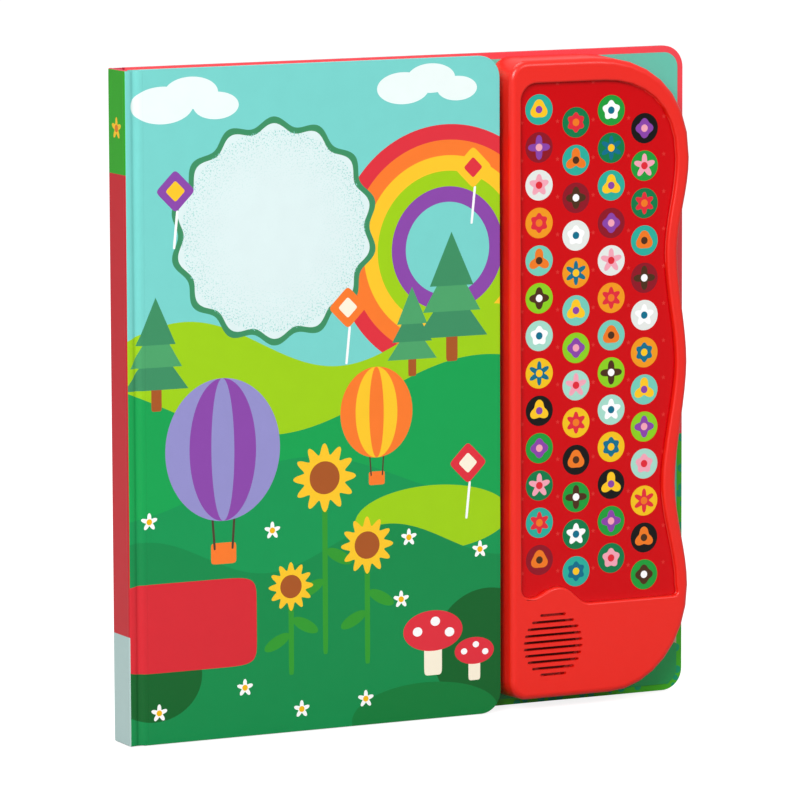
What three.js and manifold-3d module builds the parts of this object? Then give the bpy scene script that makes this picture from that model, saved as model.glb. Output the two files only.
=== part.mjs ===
// A hardcover book with a battery sound module beside its pages, standing on its lower edge.
// Millimetres. X runs from the spine to the fore-edge, Y from the front cover to the back, Z is up.
import * as THREE from 'three';
import { mergeVertices } from 'three/addons/utils/BufferGeometryUtils.js';
import Module from 'manifold-3d';

const wasm = await Module();
wasm.setup();

// Case: boards, spine and endpapers
const coverHeight = 300;
const frontWidth = 184.5;
const bookDepth = 18;
const frontBoard = 2.5;
const backBoard = 3;
const spineBoard = 2;
const boardCorner = 10;
const spineEdgeRound = 0.7;
const grooveWidth = 7;
const grooveDip = 0.9;
const groovePaper = 0.7;
const grooveLap = 0.5;
const hingeGap = 0.3;
const liningPaper = 0.4;
const liningMargin = 3;
const clearance = 0.3;

// Page block of stiff board leaves
const leafCount = 6;
const leafGap = 0.3;
const leafGapDepth = 1;
const pageMargin = 3;
const pageForeEdgeInset = 1.5;

// Sound module: outer shell
const moduleGap = 3.5;
const moduleLand = 99;
const moduleProud = 4;
const moduleFoot = 5;
const moduleHead = 2.7;
const moduleCorner = 9;
const shellWall = 1.8;
const shellEdgeRound = 3;
const shellEdgeSteps = 4;
const shellDraft = 0.6;

// Wavy fore-edge side of the shell: places of crests and troughs, and how far in each lies
const waveHeights = [250, 206, 156, 100, 52];
const waveInsets = [6, 12, 7, 13, 6.4];
const waveEase = 16;
const topSweepWidth = 49;
const bottomSweepWidth = 41;
const bottomSweepReach = 22;
const bottomSweepRise = 27;
const sweepUpright = 0.3;
const sweepFlat = 0.53;

// Film recess and key holes
const rimLeft = 5.6;
const rimTop = 10.4;
const rimRight = [6.8, 6.2, 6, 7.1, 6.3];
const recessDepth = 2.5;
const recessWall = 1.6;
const recessFloor = 1.6;
const recessCorner = 8;
const recessLipHeight = 42.6;
const recessWaveRise = 8.5;
const recessWaveDip = 4.4;
const recessWaveSpan = 16;
const recessCrestLean = 0.85;
const recessSweepWidth = 38;
const lipEase = { dip: 5, crestBefore: 6, crestAfter: 7, flat: 6 };
const lowCorner = { reach: 2, bulge: 0.6, side: 0.4, rise: 2.6 };
const filmThickness = 0.4;
const filmClearance = 0.25;

// Keys: four staggered columns
const columnPlaces = [15.7, 34.6, 52.8, 70];
const columnDrops = [0, 6.6, 1.8, 10.7];
const firstRowDrop = 22.5;
const lastRowRise = 61;
const rowPitch = 17.15;
const keyHole = 13.6;
const keyWidth = 12.4;
const keyHoleSides = 12;
const keySides = 8;
const keypadSheet = 1.1;
const keyShort = 0.2;

// Circuit board
const boardInset = 8.4;
const boardWidth = 71;
const boardBottom = 50.5;
const boardTopDrop = 14.3;
const boardChamfer = 13;
const boardThickness = 1.6;
const chipDiameter = 15;
const chipHeight = 1.6;
const chipHeightPlace = 190;

// Speaker and its grille
const speakerFromLeft = 21.5;
const speakerHeight = 29.9;
const speakerDiameter = 29;
const speakerRib = 1.2;
const speakerRibDepth = 2.8;
const basketDepth = 4.9;
const basketLip = 1.7;
const magnetDiameter = 15;
const magnetDepth = 4;
const coneThickness = 0.4;
const grilleDiameter = 30.5;
const grilleSlots = 10;
const grillePitch = 3.05;
const grilleSlot = 1.3;

// Battery box
const boxFromLeft = 11;
const boxBehindBoard = 0.8;
const boxBottom = 67.5;
const boxTall = 29;
const boxWall = 1.4;
const boxSideWall = 2.5;
const doorRim = 1.2;
const doorThickness = 1.4;
const batteryLength = 44.5;
const batteryDiameter = 10.5;
const batteryNub = 1;
const batteryNubDiameter = 3.8;
const batteryPitch = 11.8;
const batteryPlay = 8.5;
const doorScrewLand = 10.5;
const doorScrewPost = 6;
const doorScrewLength = 5;
const doorScrewHole = 2.4;
const doorScrewHead = 0.9;
const contactThickness = 0.4;
const contactWidth = 8;
const contactLift = 1.5;
const tailWidth = 3;
const springWire = 0.6;
const springTurns = 3.5;
const springWide = 3.6;
const springNarrow = 2.2;

// Grip grooves on the battery door
const gripCount = 5;
const gripInset = 4;
const gripPitch = 2.4;
const gripWidth = 1.2;
const gripDepth = 0.5;
const gripLength = 14;

// Screws
const bossDiameter = 5.8;
const bossHole = 2.8;
const screwShank = 2.2;
const screwHead = 4.8;
const screwHeadHeight = 1.4;
const backPlate = 2;
const screwLength = 9;
const screwSink = 0.1;
const topBossDrop = 13.3;
const lowLeftBossPlaces = [165, 54];
const rightBossPlaces = [250, 156, 52];
const bossFromLeft = 4.9;
const bossFromCrest = 7.6;

// Speaker leads
const leadDiameter = 1.1;

// Worked-out places
const moduleLeft = frontWidth + moduleGap;
const backWidth = moduleLeft + moduleLand;
const moduleBottom = moduleFoot;
const moduleTop = coverHeight - moduleHead;
const moduleFront = -moduleProud;
const liningFace = bookDepth - backBoard - liningPaper;
const filmFace = moduleFront + recessDepth;
const floorFront = filmFace + filmThickness;
const floorBack = floorFront + recessFloor;
const boardFront = floorBack + keypadSheet;
const boardBack = boardFront + boardThickness;
const boardTop = moduleTop - boardTopDrop;
const firstRowHeight = moduleTop - firstRowDrop;
const rowCount = Math.floor((firstRowHeight - moduleBottom - lastRowRise) / rowPitch) + 1;
const leftBossPlaces = [moduleTop - topBossDrop, ...lowLeftBossPlaces];
const waveDepths = waveInsets.map((inset) => backWidth - inset);
const speakerX = moduleLeft + speakerFromLeft;
const boxLeft = moduleLeft + boxFromLeft;
const doorFace = bookDepth - clearance;
const doorSeat = doorFace - doorThickness;
const boxMiddle = boxBottom + boxTall / 2;
const boxFront = boardBack + boxBehindBoard;
const boxFloor = boxFront + boxWall;
const batteryBay = batteryLength + batteryPlay;
const bayLeft = boxLeft + boxSideWall;
const bayRight = bayLeft + batteryBay;
const boxRight = bayRight + doorScrewLand;
const doorScrewX = (bayRight + boxRight) / 2;
const batteryY = boxFloor + clearance / 2 + batteryDiameter / 2;
const contactFoot = boxFloor + contactLift;

const colours = {
  coverSky: '#77d3cc',
  coverBack: '#5fc3ba',
  spineRed: '#c02a36',
  endpaper: '#65c4ae',
  page: '#f2eee4',
  shell: '#ec3226',
  shellBack: '#cf2b22',
  film: '#cd0c18',
  silicone: '#d9d9d6',
  circuit: '#2b6b3c',
  epoxy: '#151515',
  steel: '#b9bcc0',
  cone: '#2b2b2e',
  battery: '#3a3d42',
  copper: '#b06a3a',
};

function material(colour, roughness, metalness = 0) {
  return new THREE.MeshStandardMaterial({ color: colour, roughness, metalness });
}

// Mesh tools
function toSolid(geometry) {
  const bare = geometry.clone();
  bare.deleteAttribute('normal');
  bare.deleteAttribute('uv');
  const merged = mergeVertices(bare, 1e-4);
  return new wasm.Manifold(new wasm.Mesh({
    numProp: 3,
    vertProperties: new Float32Array(merged.attributes.position.array),
    triVerts: new Uint32Array(merged.index.array),
  }));
}

function toGeometry(manifold) {
  const mesh = manifold.getMesh();
  const geometry = new THREE.BufferGeometry();
  geometry.setAttribute('position', new THREE.BufferAttribute(new Float32Array(mesh.vertProperties), 3));
  geometry.setIndex(new THREE.BufferAttribute(new Uint32Array(mesh.triVerts), 1));
  geometry.computeVertexNormals();
  return geometry;
}

function named(name, geometry, finish) {
  const mesh = new THREE.Mesh(geometry, finish);
  mesh.name = name;
  return mesh;
}

// Closed body through rings of equal length; each ring is an outline in X and Z at its own Y
function loft(rings) {
  const count = rings[0].points.length;
  const positions = [];
  for (const ring of rings) {
    for (const point of ring.points) {
      positions.push(point.x, ring.y, point.y);
    }
  }
  const index = [];
  for (let level = 0; level < rings.length - 1; level += 1) {
    for (let i = 0; i < count; i += 1) {
      const next = (i + 1) % count;
      const front = level * count;
      const back = front + count;
      index.push(front + i, back + i, front + next);
      index.push(front + next, back + i, back + next);
    }
  }
  const last = (rings.length - 1) * count;
  for (const [a, b, c] of THREE.ShapeUtils.triangulateShape(rings[0].points, [])) {
    index.push(a, b, c);
  }
  for (const [a, b, c] of THREE.ShapeUtils.triangulateShape(rings[rings.length - 1].points, [])) {
    index.push(last + a, last + c, last + b);
  }
  const geometry = new THREE.BufferGeometry();
  geometry.setAttribute('position', new THREE.Float32BufferAttribute(positions, 3));
  geometry.setIndex(index);
  return geometry;
}

function plate(points, yFront, yBack) {
  return loft([{ points, y: yFront }, { points, y: yBack }]);
}

function circle(x, z, diameter, sides) {
  const points = [];
  for (let i = 0; i < sides; i += 1) {
    const angle = (2 * Math.PI * i) / sides;
    const radius = diameter / 2;
    points.push(new THREE.Vector2(x + radius * Math.cos(angle), z + radius * Math.sin(angle)));
  }
  return points;
}

function rod(x, z, diameter, yFront, yBack, sides = 16) {
  return toSolid(plate(circle(x, z, diameter, sides), yFront, yBack));
}

function block(xLow, xHigh, yLow, yHigh, zLow, zHigh) {
  const corners = [
    new THREE.Vector2(xLow, zLow),
    new THREE.Vector2(xHigh, zLow),
    new THREE.Vector2(xHigh, zHigh),
    new THREE.Vector2(xLow, zHigh),
  ];
  return toSolid(plate(corners, yLow, yHigh));
}

// Moves each point of a smooth outline inwards along its normal
function inset(points, distance) {
  return points.map((point, i) => {
    const before = points[(i + points.length - 1) % points.length];
    const after = points[(i + 1) % points.length];
    const into = point.clone().sub(before).normalize();
    const out = after.clone().sub(point).normalize();
    const along = into.clone().add(out).normalize();
    const stretch = distance / Math.max(along.dot(out), 0.5);
    return new THREE.Vector2(point.x - along.y * stretch, point.y + along.x * stretch);
  });
}

// Anticlockwise rectangle with its fore-edge corners rounded
function boardOutline(xLow, xHigh, zLow, zHigh, radius) {
  const shape = new THREE.Shape();
  shape.moveTo(xLow, zLow);
  shape.lineTo(xHigh - radius, zLow);
  shape.absarc(xHigh - radius, zLow + radius, radius, -Math.PI / 2, 0, false);
  shape.lineTo(xHigh, zHigh - radius);
  shape.absarc(xHigh - radius, zHigh - radius, radius, 0, Math.PI / 2, false);
  shape.lineTo(xLow, zHigh);
  return cleaned(shape.getPoints(6));
}

function cleaned(points) {
  const kept = points.filter((point, i) => i === 0 || point.distanceTo(points[i - 1]) > 1e-3);
  if (kept[0].distanceTo(kept[kept.length - 1]) < 1e-3) {
    kept.pop();
  }
  return kept;
}

// Paper in the groove beside the spine: a shallow dip from the spine's edge to the board
function grooveStrip(outerFace, inwards) {
  const start = spineBoard + hingeGap;
  const end = grooveWidth + grooveLap;
  const at = (depth) => outerFace + inwards * depth;
  const strip = new THREE.Shape();
  strip.moveTo(start, at(grooveDip * 0.6));
  strip.bezierCurveTo(start + 1, at(grooveDip * 1.2), end - 2.5, at(grooveDip * 1.2), end, at(0.2));
  strip.lineTo(end, at(0.2 + groovePaper));
  strip.bezierCurveTo(end - 2, at(grooveDip * 1.2 + groovePaper),
    start + 1, at(grooveDip * 1.2 + groovePaper), start, at(grooveDip * 0.6 + groovePaper));
  const options = { depth: coverHeight, bevelEnabled: false, curveSegments: 6 };
  return toSolid(new THREE.ExtrudeGeometry(strip, options));
}

// Case
function frontCover() {
  const outline = boardOutline(grooveWidth, frontWidth, 0, coverHeight, boardCorner);
  const board = toSolid(plate(outline, 0, frontBoard));
  return toGeometry(board.add(grooveStrip(0, 1)));
}

function windowCut(yLow, yHigh) {
  return block(boxLeft - clearance, boxRight + clearance, yLow, yHigh,
    boxBottom - clearance, boxBottom + boxTall + clearance);
}

function backCover() {
  const face = bookDepth - backBoard;
  const outline = boardOutline(grooveWidth, backWidth, 0, coverHeight, boardCorner);
  const board = toSolid(plate(outline, face, bookDepth));
  return toGeometry(board.add(grooveStrip(bookDepth, -1)).subtract(windowCut(face - 1, bookDepth + 1)));
}

function lining(foreEdge, yFront) {
  return plate(boardOutline(grooveWidth + grooveLap, foreEdge - liningMargin, liningMargin,
    coverHeight - liningMargin, boardCorner - liningMargin), yFront, yFront + liningPaper);
}

function backLining() {
  return toGeometry(toSolid(lining(backWidth, liningFace)).subtract(windowCut(liningFace - 1, bookDepth)));
}

function spineStrip() {
  const section = new THREE.Shape();
  section.moveTo(spineBoard, hingeGap);
  section.lineTo(spineBoard, bookDepth - hingeGap);
  section.lineTo(spineEdgeRound, bookDepth - hingeGap);
  section.quadraticCurveTo(0, bookDepth - hingeGap, 0, bookDepth - hingeGap - spineEdgeRound);
  section.lineTo(0, hingeGap + spineEdgeRound);
  section.quadraticCurveTo(0, hingeGap, spineEdgeRound, hingeGap);
  return new THREE.ExtrudeGeometry(section, { depth: coverHeight, bevelEnabled: false, curveSegments: 4 });
}

// Leaves: full plates over a slightly smaller core, so the edges show each leaf
function pageBlock() {
  const front = frontBoard + liningPaper + clearance;
  const left = spineBoard + 2 * clearance;
  const right = frontWidth - pageForeEdgeInset;
  const leaf = (liningFace - front - (leafCount - 1) * leafGap) / leafCount;
  const core = boardOutline(left, right - leafGapDepth, pageMargin + leafGapDepth,
    coverHeight - pageMargin - leafGapDepth, boardCorner - leafGapDepth);
  const outline = boardOutline(left, right, pageMargin, coverHeight - pageMargin, boardCorner);
  let pages = toSolid(plate(core, front + leaf / 2, liningFace - leaf / 2));
  for (let i = 0; i < leafCount; i += 1) {
    const face = front + i * (leaf + leafGap);
    pages = pages.add(toSolid(plate(outline, face, i === leafCount - 1 ? liningFace : face + leaf)));
  }
  return toGeometry(pages);
}

// Module outlines, anticlockwise seen from the front
function waveSide(shape, depths, sweepTo) {
  for (let i = waveHeights.length - 2; i >= 0; i -= 1) {
    const low = waveHeights[i + 1];
    const high = waveHeights[i];
    shape.bezierCurveTo(depths[i + 1], low + waveEase, depths[i], high - waveEase, depths[i], high);
  }
  shape.bezierCurveTo(depths[0], sweepTo.y - (sweepTo.y - waveHeights[0]) * sweepUpright,
    sweepTo.x + (depths[0] - sweepTo.x) * sweepFlat, sweepTo.y, sweepTo.x, sweepTo.y);
}

function shellOutline() {
  const last = waveDepths.length - 1;
  const lowCrest = waveHeights[last];
  const bottomStart = waveDepths[last] - bottomSweepWidth;
  const shape = new THREE.Shape();
  shape.moveTo(moduleLeft + moduleCorner, moduleBottom);
  shape.lineTo(bottomStart, moduleBottom);
  shape.bezierCurveTo(bottomStart + bottomSweepReach, moduleBottom,
    waveDepths[last], lowCrest - bottomSweepRise, waveDepths[last], lowCrest);
  waveSide(shape, waveDepths, new THREE.Vector2(waveDepths[0] - topSweepWidth, moduleTop));
  const cornerX = moduleLeft + moduleCorner;
  const highCorner = moduleTop - moduleCorner;
  const footCorner = moduleBottom + moduleCorner;
  shape.lineTo(cornerX, moduleTop);
  shape.absarc(cornerX, highCorner, moduleCorner, Math.PI / 2, Math.PI, false);
  shape.lineTo(moduleLeft, footCorner);
  shape.absarc(cornerX, footCorner, moduleCorner, Math.PI, 1.5 * Math.PI, false);
  return cleaned(shape.getPoints(8));
}

function recessOutline() {
  const depths = waveDepths.map((depth, i) => depth - rimRight[i]);
  const left = moduleLeft + rimLeft;
  const top = moduleTop - rimTop;
  const lip = moduleBottom + recessLipHeight;
  const last = depths.length - 1;
  const right = depths[last];
  const dipX = left + recessWaveDip + 1;
  const crestX = dipX + recessCrestLean * recessWaveSpan;
  const flatX = crestX + recessWaveSpan;
  const dip = lip + recessWaveDip;
  const crest = lip + recessWaveRise;
  const shape = new THREE.Shape();
  shape.moveTo(left, dip + recessWaveDip);
  shape.quadraticCurveTo(left, dip, dipX, dip);
  shape.bezierCurveTo(dipX + lipEase.dip, dip, crestX - lipEase.crestBefore, crest, crestX, crest);
  shape.bezierCurveTo(crestX + lipEase.crestAfter, crest, flatX - lipEase.flat, lip, flatX, lip);
  shape.lineTo(right - lowCorner.reach, lip);
  shape.quadraticCurveTo(right + lowCorner.bulge, lip, right + lowCorner.side, lip + lowCorner.rise);
  shape.lineTo(right, waveHeights[last]);
  waveSide(shape, depths, new THREE.Vector2(depths[0] - recessSweepWidth, top));
  shape.lineTo(left + recessCorner, top);
  shape.absarc(left + recessCorner, top - recessCorner, recessCorner, Math.PI / 2, Math.PI, false);
  return cleaned(shape.getPoints(8));
}

const shellPoints = shellOutline();
const recessPoints = recessOutline();

function keyCentres() {
  const centres = [];
  for (let column = 0; column < columnPlaces.length; column += 1) {
    for (let row = 0; row < rowCount; row += 1) {
      const z = firstRowHeight - columnDrops[column] - row * rowPitch;
      centres.push(new THREE.Vector2(moduleLeft + columnPlaces[column], z));
    }
  }
  return centres;
}

function bossCentres() {
  const left = leftBossPlaces.map((z) => new THREE.Vector2(moduleLeft + bossFromLeft, z));
  const right = rightBossPlaces.map((z, i) => {
    return new THREE.Vector2(waveDepths[2 * i] - bossFromCrest, z);
  });
  return [...left, ...right];
}

// One speaker slot with round ends
function slotOutline(x, z, length) {
  const end = length / 2 - grilleSlot / 2;
  const shape = new THREE.Shape();
  shape.moveTo(x - end, z - grilleSlot / 2);
  shape.lineTo(x + end, z - grilleSlot / 2);
  shape.absarc(x + end, z, grilleSlot / 2, -Math.PI / 2, Math.PI / 2, false);
  shape.lineTo(x - end, z + grilleSlot / 2);
  shape.absarc(x - end, z, grilleSlot / 2, Math.PI / 2, 1.5 * Math.PI, false);
  return cleaned(shape.getPoints(3));
}

// Front shell: rounded front edge, drafted wall, recess with key holes, grille, screw bosses
function frontShell() {
  const rings = [];
  for (let step = 0; step <= shellEdgeSteps; step += 1) {
    const angle = (Math.PI / 2) * (1 - step / shellEdgeSteps);
    rings.push({
      points: inset(shellPoints, shellEdgeRound * (1 - Math.cos(angle))),
      y: moduleFront + shellEdgeRound * (1 - Math.sin(angle)),
    });
  }
  rings.push({ points: inset(shellPoints, -shellDraft), y: liningFace });
  const inner = inset(shellPoints, shellWall);
  const hollow = toSolid(plate(inner, moduleFront + shellWall, liningFace + 1));
  const floor = toSolid(plate(inset(recessPoints, -recessWall), moduleFront + shellWall - 1, floorBack));
  const recess = toSolid(plate(recessPoints, moduleFront - 1, floorFront));
  let shell = toSolid(loft(rings)).subtract(hollow.subtract(floor));
  const bossFoot = liningFace - backPlate - clearance;
  for (const centre of bossCentres()) {
    shell = shell.add(rod(centre.x, centre.y, bossDiameter, moduleFront + shellWall / 2, bossFoot, 12));
  }
  const ribInner = speakerDiameter + 2 * clearance;
  const ribBack = moduleFront + shellWall + speakerRibDepth;
  const ribOuter = ribInner + 2 * speakerRib;
  const rib = rod(speakerX, speakerHeight, ribOuter, moduleFront + shellWall / 2, ribBack, 28);
  shell = shell.add(rib.subtract(rod(speakerX, speakerHeight, ribInner, moduleFront, ribBack + 1, 28)));
  shell = shell.subtract(recess);
  const cuts = [];
  for (const centre of keyCentres()) {
    cuts.push(rod(centre.x, centre.y, keyHole, floorFront - 1, floorBack + 1, keyHoleSides));
  }
  for (const centre of bossCentres()) {
    cuts.push(rod(centre.x, centre.y, bossHole, bossFoot - screwLength, bossFoot + 1, 10));
  }
  for (let i = 0; i < grilleSlots; i += 1) {
    const offset = (i - (grilleSlots - 1) / 2) * grillePitch;
    const length = 2 * Math.sqrt((grilleDiameter / 2) ** 2 - offset ** 2);
    const outline = slotOutline(speakerX, speakerHeight + offset, length);
    cuts.push(toSolid(plate(outline, moduleFront - 1, moduleFront + shellWall + 0.5)));
  }
  for (const cut of cuts) {
    shell = shell.subtract(cut);
  }
  return toGeometry(shell);
}

// Back shell: plate with countersunk screw seats and the battery box that reaches through the cover
function backShell() {
  const boxTop = boxBottom + boxTall;
  let shell = toSolid(plate(inset(shellPoints, shellWall + clearance), liningFace - backPlate, liningFace));
  shell = shell.add(block(boxLeft, bayRight + boxWall, boxFront, doorFace, boxBottom, boxTop));
  shell = shell.add(block(bayRight, boxRight, doorSeat - doorScrewPost, doorFace, boxBottom, boxTop));
  const bay = block(bayLeft, bayRight, boxFront + boxWall, doorSeat + 1,
    boxBottom + boxSideWall, boxTop - boxSideWall);
  const rebate = block(boxLeft + doorRim, boxRight - doorRim, doorSeat, doorFace + 1,
    boxBottom + doorRim, boxTop - doorRim);
  shell = shell.subtract(bay).subtract(rebate);
  const screwEnd = doorSeat - doorScrewLength;
  shell = shell.subtract(rod(doorScrewX, boxMiddle, doorScrewHole, screwEnd, doorSeat + 1, 10));
  for (const side of [-1, 1]) {
    const z = boxMiddle + side * (batteryPitch / 2);
    shell = shell.subtract(block(bayLeft - clearance, bayLeft + contactThickness + clearance, boxFront - 1,
      boxFront + boxWall + 1, z - tailWidth / 2 - clearance, z + tailWidth / 2 + clearance));
  }
  for (const centre of bossCentres()) {
    const seat = liningFace - screwHeadHeight - screwSink;
    shell = shell.subtract(rod(centre.x, centre.y, bossHole, liningFace - backPlate - 1, liningFace, 10));
    shell = shell.subtract(rod(centre.x, centre.y, screwHead + 2 * clearance, seat, liningFace + 1, 14));
  }
  return toGeometry(shell);
}

// Keys on one soft sheet; each key stands in its own hole just behind the film
function keypadGeometry() {
  let pad = toSolid(plate(boardOutlineWithChamfer(0), floorBack, boardFront));
  const keyTop = floorFront + keyShort;
  const keyFoot = boardFront - keypadSheet / 2;
  for (const centre of keyCentres()) {
    pad = pad.add(rod(centre.x, centre.y, keyWidth, keyTop, keyFoot, keySides));
  }
  return toGeometry(pad);
}

function boardOutlineWithChamfer(margin) {
  const left = moduleLeft + boardInset + margin;
  const right = moduleLeft + boardInset + boardWidth - margin;
  const bottom = boardBottom + margin;
  const top = boardTop - margin;
  return [
    new THREE.Vector2(left, bottom),
    new THREE.Vector2(right, bottom),
    new THREE.Vector2(right, top - boardChamfer),
    new THREE.Vector2(right - boardChamfer, top),
    new THREE.Vector2(left, top),
  ];
}

function revolve(profile, sides) {
  const points = profile.map(([radius, y]) => new THREE.Vector2(radius, y));
  return new THREE.LatheGeometry(points, sides);
}

function chipGeometry() {
  const rim = chipDiameter / 2;
  return revolve([
    [0, boardBack],
    [rim, boardBack],
    [rim * 0.86, boardBack + chipHeight * 0.6],
    [rim * 0.5, boardBack + chipHeight * 0.92],
    [0, boardBack + chipHeight],
  ], 18);
}

// Speaker parts share one axis behind the grille
const speakerFront = moduleFront + shellWall + clearance;
const basketBack = speakerFront + basketDepth;
const basketRear = 8.5;
const basketSheet = 0.8;

function basketGeometry() {
  const rim = speakerDiameter / 2;
  return revolve([
    [0, basketBack - basketSheet],
    [basketRear - basketSheet, basketBack - basketSheet],
    [rim - basketLip, speakerFront + 1],
    [rim - basketLip, speakerFront],
    [rim, speakerFront],
    [rim, speakerFront + 1],
    [basketRear, basketBack],
    [0, basketBack],
  ], 24);
}

function coneGeometry() {
  const rim = speakerDiameter / 2 - basketLip - clearance;
  const throat = 4;
  const depth = 2.4;
  const front = speakerFront + 0.3;
  return revolve([
    [0, front + depth - 1],
    [throat, front + depth],
    [rim - 1.2, front],
    [rim, front],
    [rim, front + coneThickness],
    [rim - 1, front + coneThickness],
    [throat, front + depth + coneThickness],
    [0, front + depth + coneThickness - 1],
  ], 24);
}

function magnetGeometry() {
  const rim = magnetDiameter / 2;
  return revolve([
    [0, basketBack],
    [rim, basketBack],
    [rim, basketBack + magnetDepth - 0.5],
    [rim - 0.5, basketBack + magnetDepth],
    [0, basketBack + magnetDepth],
  ], 24);
}

// Cell with its positive nub towards +Y before it is turned along X
function batteryGeometry() {
  const rim = batteryDiameter / 2;
  const nub = batteryNubDiameter / 2;
  const body = batteryLength - batteryNub;
  return revolve([
    [0, 0],
    [rim - 0.4, 0],
    [rim, 0.4],
    [rim, body - 0.4],
    [rim - 0.4, body],
    [nub, body],
    [nub, batteryLength],
    [0, batteryLength],
  ], 18);
}

class SpringCurve extends THREE.Curve {
  constructor(length, radiusStart, radiusEnd, turns) {
    super();
    this.length = length;
    this.radiusStart = radiusStart;
    this.radiusEnd = radiusEnd;
    this.turns = turns;
  }

  getPoint(t, target = new THREE.Vector3()) {
    const radius = this.radiusStart + (this.radiusEnd - this.radiusStart) * t;
    const angle = 2 * Math.PI * this.turns * t;
    return target.set(this.length * t, radius * Math.cos(angle), radius * Math.sin(angle));
  }
}

function tube(path, diameter, sides, steps) {
  const section = new THREE.Shape(circle(0, 0, diameter, sides));
  return new THREE.ExtrudeGeometry(section, { extrudePath: path, steps, bevelEnabled: false });
}

function springGeometry(length) {
  return tube(new SpringCurve(length, springWide, springNarrow, springTurns), springWire, 5, 28);
}

// Flat contact against the end of the bay, with a tail through the box to the circuit board
function contactGeometry() {
  const blade = block(0, contactThickness, contactFoot, contactFoot + contactWidth,
    -contactWidth / 2, contactWidth / 2);
  const tail = block(0, contactThickness, boardBack, contactFoot + 1, -tailWidth / 2, tailWidth / 2);
  return toGeometry(blade.add(tail));
}

function bridgeGeometry() {
  const reach = (batteryPitch + contactWidth) / 2;
  return toGeometry(block(-contactThickness, 0, contactFoot, contactFoot + contactWidth, -reach, reach));
}

function doorGeometry() {
  const left = boxLeft + doorRim + clearance;
  const right = boxRight - doorRim - clearance;
  const bottom = boxBottom + doorRim + clearance;
  const top = boxBottom + boxTall - doorRim - clearance;
  let door = block(left, right, doorSeat, doorFace, bottom, top);
  const headSeat = doorFace - doorScrewHead;
  door = door.subtract(rod(doorScrewX, boxMiddle, bossHole, doorSeat - 1, doorFace + 1, 12));
  door = door.subtract(rod(doorScrewX, boxMiddle, screwHead + 2 * clearance, headSeat, doorFace + 1, 16));
  for (let i = 0; i < gripCount; i += 1) {
    const x = left + gripInset + i * gripPitch;
    door = door.subtract(block(x, x + gripWidth, doorFace - gripDepth, doorFace + 1,
      boxMiddle - gripLength / 2, boxMiddle + gripLength / 2));
  }
  return toGeometry(door);
}

// Pan-head screw, head towards +Y, with a cross recess
function screwGeometry(headHeight, length) {
  const head = toSolid(revolve([
    [0, -headHeight - length],
    [screwShank / 2 - 0.6, -headHeight - length],
    [screwShank / 2, -headHeight - length + 1.4],
    [screwShank / 2, -headHeight],
    [screwHead / 2, -headHeight],
    [screwHead / 2, -headHeight * 0.35],
    [screwHead / 2 - 0.5, 0],
    [0, 0],
  ], 12));
  const blade = 0.6;
  const reach = 1.3;
  const depth = headHeight * 0.6;
  const cross = block(-reach, reach, -depth, 1, -blade / 2, blade / 2)
    .add(block(-blade / 2, blade / 2, -depth, 1, -reach, reach));
  return toGeometry(head.subtract(cross));
}

// Lead from the speaker's side up to the back of the circuit board
function leadGeometry(offset) {
  const lift = leadDiameter / 2 + clearance;
  const path = new THREE.CatmullRomCurve3([
    new THREE.Vector3(speakerX + offset, basketBack + lift, speakerHeight + magnetDiameter / 2 - 0.4 + 1.2),
    new THREE.Vector3(speakerX + offset, basketBack + lift + 0.6, speakerHeight + 12),
    new THREE.Vector3(speakerX + offset * 1.3, basketBack + lift + 1.6, speakerHeight + 17),
    new THREE.Vector3(speakerX + offset * 1.6, boardBack + lift + 0.5, boardBottom + 4),
    new THREE.Vector3(speakerX + offset * 1.6, boardBack + lift, boardBottom + 9),
  ]);
  return tube(path, leadDiameter, 8, 16);
}

const finishes = {
  cover: material(colours.coverSky, 0.35),
  back: material(colours.coverBack, 0.4),
  spine: material(colours.spineRed, 0.35),
  endpaper: material(colours.endpaper, 0.7),
  page: material(colours.page, 0.75),
  shell: material(colours.shell, 0.32),
  shellBack: material(colours.shellBack, 0.4),
  film: material(colours.film, 0.18),
  silicone: material(colours.silicone, 0.7),
  circuit: material(colours.circuit, 0.5),
  epoxy: material(colours.epoxy, 0.4),
  steel: material(colours.steel, 0.35, 1),
  cone: material(colours.cone, 0.8),
  battery: material(colours.battery, 0.35, 0.6),
  copper: material(colours.copper, 0.4),
};

const book = new THREE.Group();
book.position.set(-backWidth / 2, -(bookDepth - moduleProud) / 2, 0);

const bookCase = new THREE.Group();
bookCase.add(
  named('front_cover', frontCover(), finishes.cover),
  named('front_lining', lining(frontWidth, frontBoard), finishes.endpaper),
  named('spine', spineStrip(), finishes.spine),
  named('back_cover', backCover(), finishes.back),
  named('back_lining', backLining(), finishes.endpaper),
  named('page_block', pageBlock(), finishes.page),
);

const soundModule = new THREE.Group();
soundModule.add(
  named('housing_front', frontShell(), finishes.shell),
  named('housing_back', backShell(), finishes.shellBack),
  named('overlay_film', plate(inset(recessPoints, filmClearance), filmFace, floorFront), finishes.film),
  named('keypad', keypadGeometry(), finishes.silicone),
  named('circuit_board', plate(boardOutlineWithChamfer(0.4), boardFront, boardBack), finishes.circuit),
  named('battery_door', doorGeometry(), finishes.shellBack),
);

const chip = named('sound_chip', chipGeometry(), finishes.epoxy);
chip.position.set(moduleLeft + boardInset + boardWidth / 2, 0, chipHeightPlace);
soundModule.add(chip);

const speaker = new THREE.Group();
speaker.position.set(speakerX, 0, speakerHeight);
speaker.add(
  named('speaker_frame', basketGeometry(), finishes.steel),
  named('speaker_cone', coneGeometry(), finishes.cone),
  named('speaker_magnet', magnetGeometry(), finishes.steel),
);
soundModule.add(speaker);
soundModule.add(
  named('speaker_lead_1', leadGeometry(-3), finishes.copper),
  named('speaker_lead_2', leadGeometry(3), finishes.copper),
);

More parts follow.
